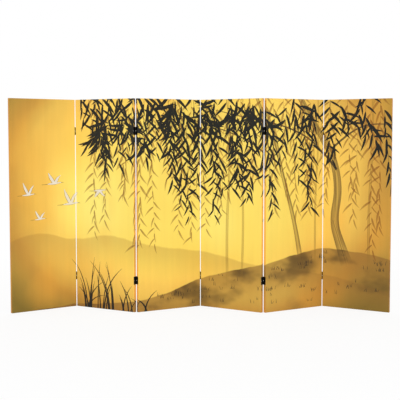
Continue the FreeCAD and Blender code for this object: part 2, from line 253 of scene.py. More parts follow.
def marks_along_lines():
    """Node tree that sets marks on alternate sides of lines, and gives the lines their width."""
    tree = bpy.data.node_groups.new("marks along lines", "GeometryNodeTree")
    number = "NodeSocketFloat"
    for name, kind in (
        ("Lines", "NodeSocketObject"),
        ("Mark", "NodeSocketObject"),
        ("Spacing", number),
        ("Mark Length", number),
        ("Length Spread", number),
        ("Length At End", number),
        ("Turn", number),
        ("Turn Spread", number),
        ("Line Width", number),
        ("Strands", "NodeSocketInt"),
        ("Seed", "NodeSocketInt"),
        ("Ink", "NodeSocketMaterial"),
    ):
        tree.interface.new_socket(name, in_out="INPUT", socket_type=kind)
    tree.interface.new_socket("Drawing", in_out="OUTPUT", socket_type="NodeSocketGeometry")
    given = tree.nodes.new("NodeGroupInput").outputs

    def chance(low, high, step):
        seed = maths(tree, "ADD", given["Seed"], step)
        return add(
            tree, "FunctionNodeRandomValue", {2: low, 3: high, 8: seed}, data_type="FLOAT"
        ).outputs[1]

    def named(geometry, name, value, domain="POINT"):
        return add(
            tree,
            "GeometryNodeStoreNamedAttribute",
            {"Geometry": geometry, "Name": name, "Value": value},
            data_type="FLOAT",
            domain=domain,
        ).outputs[0]

    lines = add(tree, "GeometryNodeObjectInfo", {"Object": given["Lines"]}).outputs["Geometry"]
    points = add(
        tree,
        "GeometryNodeResampleCurve",
        {"Curve": lines, "Length": given["Spacing"]},
        mode="LENGTH",
    ).outputs[0]
    share = add(tree, "GeometryNodeSplineParameter").outputs["Factor"]
    points = named(points, "along", share)
    heading = add(
        tree,
        "ShaderNodeSeparateXYZ",
        {0: add(tree, "GeometryNodeInputTangent").outputs[0]},
    ).outputs
    heading = maths(tree, "ARCTAN2", heading["Y"], heading["X"])
    index = add(tree, "GeometryNodeInputIndex").outputs[0]
    side = maths(tree, "MULTIPLY_ADD", maths(tree, "MODULO", index, 2.0), 2.0, -1.0)
    spread = given["Turn Spread"]
    turn = maths(
        tree, "ADD", given["Turn"], chance(maths(tree, "MULTIPLY", spread, -1.0), spread, 1)
    )
    turn = maths(tree, "MULTIPLY_ADD", side, turn, heading)
    spread = given["Length Spread"]
    length = chance(
        maths(tree, "SUBTRACT", 1.0, spread), maths(tree, "ADD", 1.0, spread), 2
    )
    length = maths(tree, "MULTIPLY", length, given["Mark Length"])
    length = maths(
        tree,
        "MULTIPLY",
        length,
        add(
            tree, "ShaderNodeMapRange", {0: share, 3: 1.0, 4: given["Length At End"]}
        ).outputs[0],
    )
    marks = add(
        tree,
        "GeometryNodeInstanceOnPoints",
        {
            "Points": points,
            "Instance": add(
                tree, "GeometryNodeObjectInfo", {"Object": given["Mark"]}
            ).outputs["Geometry"],
            "Rotation": add(tree, "ShaderNodeCombineXYZ", {2: turn}).outputs[0],
            "Scale": add(
                tree, "ShaderNodeCombineXYZ", {0: length, 1: length, 2: length}
            ).outputs[0],
        },
    ).outputs[0]
    marks = named(marks, "shade", chance(0.0, 1.0, 3), "INSTANCE")
    half = maths(tree, "MULTIPLY", given["Line Width"], 0.5)
    section = add(
        tree,
        "GeometryNodeCurvePrimitiveLine",
        {
            "Start": add(
                tree, "ShaderNodeCombineXYZ", {0: maths(tree, "MULTIPLY", half, -1.0)}
            ).outputs[0],
            "End": add(tree, "ShaderNodeCombineXYZ", {0: half}).outputs[0],
        },
    ).outputs[0]
    section = add(
        tree, "GeometryNodeResampleCurve", {"Curve": section, "Count": given["Strands"]}
    ).outputs[0]
    section = named(
        section, "across", add(tree, "GeometryNodeSplineParameter").outputs["Factor"]
    )
    strips = add(
        tree,
        "GeometryNodeCurveToMesh",
        {
            "Curve": points,
            "Profile Curve": section,
            "Scale": add(tree, "GeometryNodeInputRadius").outputs[0],
        },
    ).outputs[0]
    both = add(tree, "GeometryNodeJoinGeometry")
    tree.links.new(strips, both.inputs[0])
    tree.links.new(marks, both.inputs[0])
    real = add(tree, "GeometryNodeRealizeInstances", {"Geometry": both.outputs[0]}).outputs[0]
    inked = add(
        tree, "GeometryNodeSetMaterial", {"Geometry": real, "Material": given["Ink"]}
    ).outputs[0]
    tree.links.new(inked, tree.nodes.new("NodeGroupOutput").inputs[0])
    return tree


MARKS_TREE = marks_along_lines()


def read_values(mesh, name, missing):
    """One float attribute of a mesh's points, or the missing value."""
    found = mesh.attributes.get(name)
    if found is None:
        return [missing] * len(mesh.vertices)
    return [item.value for item in found.data]


def strokes(lines, mark, sizes, hex_code, cover, fade=0.0, hollow=0.0, rise=0.0):
    """Strokes as (outline, paint at each corner).

    Cover rises over the first share of a stroke, fades along it, and is thinned in its middle by hollow.
    """
    bpy.ops.mesh.primitive_plane_add()
    holder = bpy.context.object
    line = line_object("drawn_line", lines)
    modifier = holder.modifiers.new("drawing", "NODES")
    modifier.node_group = MARKS_TREE
    given = {
        "Lines": line,
        "Mark": mark,
        "Spacing": 30 * MM,
        "Mark Length": 60 * MM,
        "Length Spread": 0.25,
        "Length At End": 0.75,
        "Turn": 0.5,
        "Turn Spread": 0.2,
        "Line Width": 1.5 * MM,
        "Strands": 2,
        "Seed": 1,
        **sizes,
    }
    for item in MARKS_TREE.interface.items_tree:
        if item.in_out == "INPUT" and item.name in given:
            modifier[item.identifier] = given[item.name]
    bpy.context.view_layer.update()
    graph = bpy.context.evaluated_depsgraph_get()
    mesh = bpy.data.meshes.new_from_object(holder.evaluated_get(graph))
    along = read_values(mesh, "along", 0.0)
    shade = read_values(mesh, "shade", 0.5)
    across = read_values(mesh, "across", 0.0)
    colour = linear(hex_code)[:3]
    made = []
    for face in mesh.polygons:
        outline = []
        paint = []
        for v in face.vertices:
            co = mesh.vertices[v].co
            outline.append((co.x, co.y))
            edge = abs(2 * across[v] - 1)
            strength = cover * (0.985 + 0.015 * shade[v]) * (1 - fade * along[v])
            if rise > 0:
                strength *= min(1.0, along[v] / rise)
            paint.append((*colour, strength * (1 - hollow * (1 - edge))))
        made.append((outline, paint))
    for item in (holder, line):
        bpy.data.objects.remove(item)
    return made


def signed_area(outline):
    """Twice the area of an outline, positive when it runs anticlockwise."""
    return sum(a[0] * b[1] - b[0] * a[1] for a, b in zip(outline, outline[1:] + outline[:1]))


def covers_nothing(outline, low, high):
    """True when an outline lies outside a rectangle."""
    return any(
        max(p[k] for p in outline) < low[k] or min(p[k] for p in outline) > high[k] for k in (0, 1)
    )


def seam_places(outlines, size, reach):
    """Distances past each corner of a face at which strokes cross the lines that carry on its edges."""
    found = {corner: set() for corner in CORNERS}
    for outline in outlines:
        for a, b in zip(outline, outline[1:] + outline[:1]):
            for axis in (0, 1):
                other = 1 - axis
                for end in (0, 1):
                    from_line = a[axis] - end * size[axis]
                    if from_line * (b[axis] - end * size[axis]) >= 0:
                        continue
                    place = a[other] + (b[other] - a[other]) * from_line / (a[axis] - b[axis])
                    for far, beyond in ((0, -place), (1, place - size[other])):
                        if 0 < beyond < reach:
                            found[(end, far) if axis == 0 else (far, end)].add(beyond)
    return found


def cloth_outlines(size, runs):
    """The face, then one strip of cloth on each of its four sides for each fold line."""
    wide, high = size
    outlines = [[(0, 0), (wide, 0), (wide, high), (0, high)]]
    for near, far in zip([0.0] + runs, runs):
        outlines += [
            [(wide + near, 0), (wide + far, 0), (wide + far, high), (wide + near, high)],
            [(-far, 0), (-near, 0), (-near, high), (-far, high)],
            [(0, high + near), (wide, high + near), (wide, high + far), (0, high + far)],
            [(0, -far), (wide, -far), (wide, -near), (0, -near)],
        ]
    return outlines


def sewn_points(found, size, reach):
    """Pairs of points that meet at a corner of the turned cloth, and the distances with no partner yet."""
    sewn = {}
    missing = {}
    for cx, cy in CORNERS:
        x, y = cx * size[0], cy * size[1]
        out_x, out_y = 2 * cx - 1, 2 * cy - 1
        upright, level = [], []
        for i, (px, py) in enumerate(found):
            dx, dy = (px - x) * out_x, (py - y) * out_y
            if abs(dx) < MERGE_DISTANCE and MERGE_DISTANCE < dy < reach + MERGE_DISTANCE:
                upright.append((dy, i))
            if abs(dy) < MERGE_DISTANCE and MERGE_DISTANCE < dx < reach + MERGE_DISTANCE:
                level.append((dx, i))
        for ours, theirs, keeps in ((upright, level, False), (level, upright, True)):
            for distance, i in ours:
                gap, partner = min((abs(distance - d), j) for d, j in theirs)
                if gap > 2 * MERGE_DISTANCE:
                    missing.setdefault((cx, cy), set()).add(distance)
                elif keeps:
                    sewn[i] = partner
    return sewn, missing


def cut_cloth(drawing, corner, size, runs):
    """One panel's share of the drawing cut into its cloth.

    Returns the points, each (triangle, paint at each corner) and the pairs of points sewn together.
    """
    reach = runs[-1] if runs else 0.0
    outlines = cloth_outlines(size, runs)
    ground = len(outlines)
    kept = []
    for outline, paint in drawing:
        moved = [(x - corner[0], y - corner[1]) for x, y in outline]
        if signed_area(moved) < 0:
            moved, paint = moved[::-1], paint[::-1]
        if not covers_nothing(moved, (-reach, -reach), (size[0] + reach, size[1] + reach)):
            low, high = ([f(p[k] for p in moved) for k in (0, 1)] for f in (min, max))
            kept.append((moved, paint, [Vector((*p, 0)) for p in moved], low, high))
    points = []
    faces = []
    for outline in outlines + [stroke[0] for stroke in kept]:
        faces.append(list(range(len(points), len(points) + len(outline))))
        points += [Vector(p) for p in outline]
    extra = seam_places([stroke[0] for stroke in kept], size, reach)
    for _ in range(SEWING_TRIES):
        added = []
        for (cx, cy), distances in extra.items():
            for d in sorted(distances):
                x, y = cx * size[0], cy * size[1]
                added += [Vector((x, y + (2 * cy - 1) * d)), Vector((x + (2 * cx - 1) * d, y))]
        found, _, triangles, _, _, origins = delaunay_2d_cdt(
            points + added, [], faces, 0, MERGE_DISTANCE, True
        )
        sewn, missing = sewn_points(found, size, reach) if runs else ({}, {})
        if not missing:
            break
        for place, distances in missing.items():
            extra[place] |= distances
    known = {}

    def reaches(stroke, place):
        low, high = kept[stroke - ground][3:]
        return all(near <= c <= far for near, c, far in zip(low, place, high))

    def paint_at(stroke, vertex):
        if (stroke, vertex) not in known:
            paint, outline = kept[stroke - ground][1:3]
            weights = poly_3d_calc(outline, Vector((*found[vertex], 0)))
            total = sum(weights) or 1.0
            known[stroke, vertex] = [
                sum(w * p[c] for w, p in zip(weights, paint)) / total for c in range(4)
            ]
        return known[stroke, vertex]

    cut = []
    for triangle, over in zip(triangles, origins):
        middle = [sum(found[v][k] for v in triangle) / 3 for k in (0, 1)]
        beyond = [(c > s) - (c < 0) for c, s in zip(middle, size)]
        if all(beyond) or max(max(-c, c - s) for c, s in zip(middle, size)) > reach:
            continue
        over = [stroke for stroke in sorted(over) if stroke >= ground and reaches(stroke, middle)]
        corners = []
        for vertex in triangle:
            colour = [0.0, 0.0, 0.0]
            cover = 0.0
            for stroke in over:
                red, green, blue, own = paint_at(stroke, vertex)
                total = own + cover * (1 - own)
                if total > 0:
                    colour = [
                        (n * own + c * cover * (1 - own)) / total
                        for n, c in zip((red, green, blue), colour)
                    ]
                cover = total
            corners.append((*colour, cover))
        cut.append((tuple(triangle), corners))
    return [tuple(p) for p in found], cut, sewn


def turned_profile(depth):
    """Section of the turned canvas, from the face round the edge and in: (inset, depth, run of cloth)."""
    thick = CANVAS_THICKNESS
    outer = FOLD_RADIUS
    inner = INNER_RADIUS
    quarter = math.pi / 2
    section = [(outer, 0.0, 0.0)]
    for step in range(1, ARC_STEPS + 1):
        turn = quarter * step / ARC_STEPS
        section.append((outer * (1 - math.sin(turn)), outer * (1 - math.cos(turn)), outer * turn))
    run = outer * quarter + depth - 2 * outer
    for step in range(ARC_STEPS + 1):
        turn = quarter * step / ARC_STEPS
        section.append(
            (outer * (1 - math.cos(turn)), depth - outer * (1 - math.sin(turn)), run + outer * turn)
        )
    end = run + outer * quarter + HEM_WIDTH - outer
    section += [
        (HEM_WIDTH, depth, end),
        (HEM_WIDTH, depth - thick, end),
        (thick + inner, depth - thick, end),
        (thick, depth - thick - inner, end),
        (thick, thick + inner, end),
        (thick + inner, thick, end),
    ]
    return section


def canvas_piece(name, drawing, number, size, depth_at, profile, cut_rings, back=False):
    """A printed canvas.

    The cloth is cut along the drawing, past the face up to the last of the profile's cut rings, and
    folded. The rest of the profile follows round its edge.
    """
    place, (_, _, high) = PLACES[number]
    width, height = size
    margin = (PANEL_PITCH - width) / 2
    left = (number - 1) * PANEL_PITCH + margin
    if back:
        left = PICTURE_WIDTH - number * PANEL_PITCH + margin
    bottom = (high - height) / 2
    runs = [run for _, _, run in profile[1 : cut_rings + 1]]
    flat, cut, sewn = cut_cloth(drawing, (left, bottom), size, runs)

    def in_space(vertex, inset, depth):
        x, y = (min(max(c, 0.0), s) for c, s in zip(flat[vertex], size))
        across = margin + inset + x / width * (width - 2 * inset)
        up = bottom + inset + y / height * (height - 2 * inset)
        if back:
            return place @ Vector((2 * margin + width - across, depth_at - depth, up))
        return place @ Vector((across, depth_at + depth, up))

    def run_of(vertex):
        return max(max(-c, c - s, 0.0) for c, s in zip(flat[vertex], size))

    def folded(vertex):
        run = run_of(vertex)
        for (inset, depth, near), (next_inset, next_depth, far) in zip(profile, profile[1:]):
            if run <= far:
                share = (run - near) / (far - near) if far > near else 0.0
                inset += (next_inset - inset) * share
                depth += (next_depth - depth) * share
                return in_space(vertex, inset, depth)

    points = []
    turned = []
    index = {}
    faces, paints, places, smooth = [], [], [], []
    edges = {}
    for triangle, corners in cut:
        joined = [sewn.get(v, v) for v in triangle]
        for v in joined:
            if v not in index:
                index[v] = len(points)
                points.append(folded(v))
                turned.append(min(run_of(v) / (math.pi / 2 * FOLD_RADIUS), 1.0))
        faces.append([index[v] for v in joined])
        paints += corners
        places += [flat[v] for v in triangle]
        gone = [run_of(v) for v in triangle]
        smooth.append(0 < max(gone) - min(gone) < FOLD_RADIUS)
        for k, m in ((0, 1), (1, 2), (2, 0)):
            a, b = joined[k], joined[m]
            if (b, a) in edges:
                del edges[b, a]
            else:
                edges[a, b] = (triangle[k], triangle[m], corners[k], corners[m])

    before = {a: index[a] for a, _ in edges}
    start_run = runs[-1] if runs else 0.0
    run_before = start_run
    for inset, depth, run in profile[cut_rings + 1 :]:
        after = {}
        for a in before:
            after[a] = len(points)
            points.append(in_space(a, inset, depth))
        for (a, b), (flat_a, flat_b, paint_a, paint_b) in edges.items():
            faces.append([before[b], before[a], after[a], after[b]])
            paints += [paint_b, paint_a, paint_a, paint_b]
            a_flat, b_flat = flat[flat_a], flat[flat_b]
            along = Vector((b_flat[0] - a_flat[0], b_flat[1] - a_flat[1])).normalized()
            near, far = run_before - start_run, run - start_run
            for (x, y), gone in ((b_flat, near), (a_flat, near), (a_flat, far), (b_flat, far)):
                places.append((x + along.y * gone, y - along.x * gone))
            smooth.append(0 < run - run_before < FOLD_RADIUS)
        before = after
        run_before = run
    following = dict(edges.keys())
    loop = [next(iter(following))]
    while following[loop[-1]] != loop[0]:
        loop.append(following[loop[-1]])
    faces.append([before[v] for v in reversed(loop)])
    paints += [(0.0, 0.0, 0.0, 0.0)] * len(loop)
    places += [flat[v] for v in reversed(loop)]
    smooth.append(False)

    mesh = bpy.data.meshes.new(name)
    mesh.from_pydata(points, [], faces)
    colours = mesh.color_attributes.new("paint", "FLOAT_COLOR", "CORNER")
    colours.data.foreach_set("color", [c for paint in paints for c in paint])
    # The edge value, 0 on the face and 1 once the cloth has turned round the fold, carries the painted shade
    # of the turned edges; the back canvas gets none
    edge = mesh.attributes.new("edge", "FLOAT", "POINT")
    edge.data.foreach_set("value", turned + [float(not back)] * (len(points) - len(turned)))
    layer = mesh.uv_layers.new(name="picture")
    layer.data.foreach_set("uv", [c for x, y in places for c in (left + x, bottom + y)])
    mesh.polygons.foreach_set("use_smooth", smooth)
    mesh.update()
    made = bpy.data.objects.new(name, mesh)
    bpy.context.scene.collection.objects.link(made)
    return made


# The drawings: willows on a bank, reeds and white birds
def frond(rng, across, up, length, sway):
    """One hanging willow whip as a line of (across, up, width share)."""
    line = []
    for step in range(6):
        s = step / 5
        stray = rng.uniform(-6, 6) * MM * s
        line.append((across + sway * s**1.4 + stray, up - length * s, 1.0 - 0.6 * s))
    return line


def hanging_fronds(seed, count, span, tops, lengths, sway):
    """Whips spread over a span of the picture."""
    rng = random.Random(seed)
    lines = []
    for i in range(count):
        across = span[0] + (span[1] - span[0]) * (i + rng.uniform(0.1, 0.9)) / count
        up = rng.uniform(*tops)
        lines.append(frond(rng, across, up, rng.uniform(*lengths), rng.uniform(-sway, sway)))
    return lines


def blades(seed, count, span, up, heights, lean, width=(0.7, 1.0)):
    """Reed blades that rise from one level and bow over."""
    rng = random.Random(seed)
    lines = []
    for _ in range(count):
        across = rng.uniform(*span)
        height = rng.uniform(*heights)
        bow = rng.uniform(-lean, lean)
        share = rng.uniform(*width)
        droop = 0.35 * abs(bow) / height
        lines.append(
            [
                (across + bow * s**2, up + height * (s - droop * s**3), share * (1.0 - s**2) + 0.12)
                for s in (0.0, 0.3, 0.6, 0.85, 1.0)
            ]
        )
    return lines


def trunk_strokes(line, width, wash, shade, seed):
    """A tree trunk: a soft wash that comes up out of the grass, and bark strokes along its shaded side."""
    rng = random.Random(seed)
    sizes = {"Spacing": 30 * MM, "Line Width": width, "Strands": 7}
    made = strokes([line], None, sizes, wash, 0.85, fade=0.15, hollow=0.5, rise=0.12)
    bark = []
    for _ in range(14):
        first = rng.randint(0, len(line) - 3)
        aside = width * rng.uniform(-0.1, 0.42)
        bark.append(
            [
                (x + aside * w, y + rng.uniform(-20, 20) * MM, rng.uniform(0.5, 1.2))
                for x, y, w in line[first : first + 3]
            ]
        )
    sizes = {"Spacing": 15 * MM, "Line Width": 0.07 * width}
    return made + strokes(bark, None, sizes, shade, 0.55, fade=0.5, rise=0.3)


def birds(flock, size):
    """White wading birds in flight, each (across, up, size share, wing lift), with dark legs and bill."""
    wings, bodies, dark = [], [], []
    for across, up, share, lift in flock:

        def line(*places, reach=size * share, across=across, up=up):
            return [(across + x * reach, up + y * reach, share * w) for x, y, w in places]

        tips = [(x, y * lift, w) for x, y, w in ((-0.1, 0.4, 1.35), (-0.3, 0.8, 1.0), (-0.42, 1.15, 0.2))]
        wings.append(line((0.1, 0.02, 1.0), *tips))
        tips = [(x, y * lift, w) for x, y, w in ((0.3, 0.34, 1.2), (0.42, 0.66, 0.8), (0.66, 0.9, 0.15))]
        wings.append(line((0.12, 0.0, 1.0), *tips))
        bodies.append(
            line((-0.5, -0.03, 0.2), (-0.15, 0.0, 0.9), (0.25, 0.03, 0.8), (0.5, 0.06, 0.4), (0.7, 0.1, 0.35))
        )
        dark.append(line((-0.4, -0.03, 0.9), (-0.7, -0.06, 0.7), (-1.0, -0.06, 0.5)))
        dark.append(line((0.68, 0.1, 0.9), (0.78, 0.09, 0.7), (0.92, 0.06, 0.3)))
    white = wings + bodies
    made = strokes(white, None, {"Spacing": 6 * MM, "Line Width": 0.25 * size}, "#7A5A34", 0.8)
    made += strokes(dark, None, {"Spacing": 8 * MM, "Line Width": 0.045 * size}, INK, 0.9)
    return made + strokes(white, None, {"Spacing": 6 * MM, "Line Width": 0.19 * size}, "#EDE6D8", 0.96)


def grass_tufts(seed, count, span, ground):
    """Little tufts of grass scattered below a line of ground."""
    rng = random.Random(seed)
    tufts = []
    for _ in range(count):
        across = rng.uniform(*span)
        up = ground(across) * rng.uniform(0.1, 0.96)
        near = (across - 0.02, across + 0.02)
        tufts += blades(rng.random(), rng.randint(2, 5), near, up, (0.012, 0.03), 0.012)
    return strokes(tufts, None, {"Spacing": 8 * MM, "Line Width": 3.2 * MM}, "#3E3324", 0.85)


LEAF = leaf_mark("leaf_stroke", 0.15, 0.05)
SLIM_LEAF = leaf_mark("slim_leaf_stroke", 0.13, -0.06)
INK = "#191C1B"
FAINT_INK = "#84501F"
BRANCH_BROWN = "#3A3026"
TRUNK_WASH = "#5A4426"
BARK_SHADE = "#2C241A"

# Leaves on their whips: pale far ones, the near ones, and short thick sprays
DRAPED = {
    "Spacing": 30 * MM,
    "Mark Length": 96 * MM,
    "Turn": 0.5,
    "Turn Spread": 0.4,
    "Line Width": 1.8 * MM,
}
BOLD = {
    "Spacing": 31 * MM,
    "Mark Length": 106 * MM,
    "Turn": 0.6,
    "Turn Spread": 0.45,
    "Line Width": 2.4 * MM,
}
SPRAY = {
    "Spacing": 17 * MM,
    "Mark Length": 112 * MM,
    "Length Spread": 0.3,
    "Turn": 0.6,
    "Turn Spread": 0.6,
    "Seed": 9,
}

# Lines of the trees and reeds that carry no leaf marks
BRANCH = {"Spacing": 25 * MM, "Line Width": 9 * MM}
REED = {"Spacing": 22 * MM, "Line Width": 9 * MM}
SAPLING = {"Spacing": 30 * MM, "Line Width": 17 * MM, "Strands": 5}

# Grounds of the two pictures, as (share of the width, share of the height)
FRONT_BANK = (
    (0.0, 0.0),
    (0.2, 0.02),
    (0.38, 0.07),
    (0.56, 0.17),
    (0.72, 0.25),
    (0.86, 0.285),
    (1.0, 0.25),
)
FRONT_RIDGE = (
    (0.0, 0.34),
    (0.07, 0.37),
    (0.16, 0.335),
    (0.27, 0.36),
    (0.38, 0.31),
    (0.55, 0.26),
    (1.0, 0.1),
)
BACK_BANK = ((0.0, 0.2), (0.12, 0.21), (0.3, 0.15), (0.5, 0.07), (0.68, 0.03), (0.85, 0.0), (1.0, 0.0))
BACK_RIDGE = ((0.0, 0.1), (0.3, 0.22), (0.5, 0.31), (0.66, 0.29), (0.8, 0.35), (0.92, 0.38), (1.0, 0.36))


def ground_line(places):
    """Height of a painted bank at a place across the picture."""

    def height(across):
        share = across / PICTURE_WIDTH
        for (a, low), (b, high) in zip(places, places[1:]):
            if share <= b:
                mix = (share - a) / (b - a)
                return (low + (high - low) * mix * mix * (3 - 2 * mix)) * PICTURE_HEIGHT
        return places[-1][1] * PICTURE_HEIGHT

    return height


def front_drawing():
    """Willows over a bank at the right, reeds, and birds over a far ridge at the left."""
    trunk = [
        (2.15, 0.25, 1.5),
        (2.11, 0.36, 1.15),
        (2.06, 0.50, 1.0),
        (2.10, 0.70, 0.95),
        (2.04, 0.93, 0.85),
        (1.90, 1.10, 0.75),
        (1.80, 1.26, 0.7),
    ]
    second = [
        (1.85, 0.24, 1.2),
        (1.83, 0.36, 0.9),
        (1.78, 0.57, 0.75),
        (1.70, 0.80, 0.65),
        (1.66, 1.00, 0.6),
        (1.55, 1.24, 0.55),
    ]
    saplings = [
        [(1.38, 0.12, 1.0), (1.37, 0.45, 0.95), (1.40, 0.85, 0.85), (1.38, 1.26, 0.7)],
        [(1.47, 0.14, 0.8), (1.49, 0.50, 0.75), (1.46, 0.90, 0.7), (1.48, 1.26, 0.6)],
        [(1.95, 0.22, 0.8), (1.94, 0.60, 0.75), (1.97, 0.95, 0.7), (1.96, 1.26, 0.6)],
        [(2.28, 0.20, 0.9), (2.27, 0.55, 0.85), (2.30, 0.95, 0.8), (2.29, 1.26, 0.7)],
    ]
    made = strokes(saplings, None, SAPLING, "#94702C", 0.75, fade=0.2, hollow=0.6, rise=0.15)
    made += trunk_strokes(second, 34 * MM, "#7C5A28", "#3E301E", 5)
    made += trunk_strokes(trunk, 50 * MM, TRUNK_WASH, BARK_SHADE, 6)
    branches = [
        [(2.08, 0.80, 1.6), (1.98, 0.93, 1.3), (1.80, 1.03, 1.0), (1.56, 1.08, 0.8), (1.30, 1.14, 0.4)],
        [(2.05, 0.92, 1.4), (2.16, 1.02, 1.1), (2.30, 1.07, 0.7), (2.44, 1.05, 0.4)],
        [(1.70, 0.82, 1.2), (1.58, 0.94, 0.9), (1.38, 1.02, 0.7), (1.10, 1.10, 0.5), (0.86, 1.16, 0.3)],
    ]
    made += strokes(branches, None, BRANCH, BRANCH_BROWN, 0.9)
    ghost = hanging_fronds(11, 30, (0.5, 2.35), (1.1, 1.3), (0.35, 0.8), 0.05)
    made += strokes(ghost, SLIM_LEAF, {**DRAPED, "Seed": 5}, FAINT_INK, 0.8, fade=0.55)
    near = hanging_fronds(3, 15, (1.0, 1.62), (1.06, 1.28), (0.3, 0.62), 0.08)
    near += hanging_fronds(4, 5, (1.64, 1.96), (1.1, 1.28), (0.25, 0.55), 0.06)
    near += hanging_fronds(8, 13, (0.42, 1.05), (1.2, 1.3), (0.2, 0.5), 0.07)
    near += hanging_fronds(21, 5, (2.02, 2.38), (1.1, 1.28), (0.15, 0.42), 0.06)
    made += strokes(near, LEAF, BOLD, INK, 1.0)
    sprays = hanging_fronds(52, 14, (0.5, 1.66), (1.0, 1.2), (0.05, 0.16), 0.12)
    sprays += hanging_fronds(53, 4, (1.74, 2.36), (1.02, 1.18), (0.05, 0.14), 0.1)
    made += strokes(sprays, LEAF, SPRAY, INK, 1.0)
    reeds = blades(31, 20, (0.46, 0.66), -0.02, (0.14, 0.34), 0.14)
    reeds += blades(32, 9, (0.72, 0.86), -0.02, (0.1, 0.22), 0.09)
    made += strokes(reeds, None, REED, INK, 0.95)
    made += grass_tufts(77, 70, (0.9, 2.38), ground_line(FRONT_BANK))
    flock = [
        (0.10, 0.66, 0.8, 1.0),
        (0.26, 0.72, 0.95, 0.75),
        (0.36, 0.60, 1.0, 1.0),
        (0.56, 0.68, 0.9, -0.5),
        (0.17, 0.52, 0.7, 0.8),
    ]
    return made + birds(flock, 0.075)


def back_drawing():
    """A sparser picture: one willow on a bank, reeds, and birds over a far ridge."""
    reeds = blades(131, 24, (1.52, 1.86), -0.02, (0.2, 0.46), 0.2)
    reeds += blades(132, 12, (1.9, 2.1), -0.02, (0.12, 0.28), 0.12)
    faint = blades(133, 16, (1.4, 2.0), -0.02, (0.2, 0.5), 0.16)
    made = strokes(faint, None, REED, FAINT_INK, 0.5, fade=0.4)
    made += strokes(reeds, None, REED, INK, 0.95)
    trunk = [
        (0.30, 0.15, 1.4),
        (0.33, 0.30, 1.1),
        (0.28, 0.55, 1.0),
        (0.34, 0.80, 0.9),
        (0.30, 1.02, 0.8),
        (0.38, 1.26, 0.7),
    ]
    made += trunk_strokes(trunk, 46 * MM, TRUNK_WASH, BARK_SHADE, 106)
    branches = [
        [(0.33, 0.78, 1.5), (0.48, 0.92, 1.2), (0.70, 1.00, 0.9), (0.94, 1.08, 0.7), (1.16, 1.14, 0.4)],
        [(0.29, 0.66, 1.3), (0.18, 0.84, 1.0), (0.06, 0.92, 0.7), (-0.04, 1.02, 0.5)],
    ]
    made += strokes(branches, None, BRANCH, BRANCH_BROWN, 0.9)
    ghost = hanging_fronds(141, 12, (0.02, 1.3), (1.1, 1.3), (0.3, 0.7), 0.05)
    made += strokes(ghost, SLIM_LEAF, {**DRAPED, "Seed": 25}, FAINT_INK, 0.65, fade=0.5)
    near = hanging_fronds(142, 18, (0.0, 1.2), (0.98, 1.26), (0.25, 0.55), 0.08)
    made += strokes(near, LEAF, {**BOLD, "Seed": 26}, INK, 1.0)
    made += birds([(1.36, 0.74, 0.9, 1.0), (1.52, 0.82, 1.0, 0.8), (1.60, 0.68, 0.8, 1.0)], 0.085)
    return made + grass_tufts(177, 40, (0.02, 1.3), ground_line(BACK_BANK))


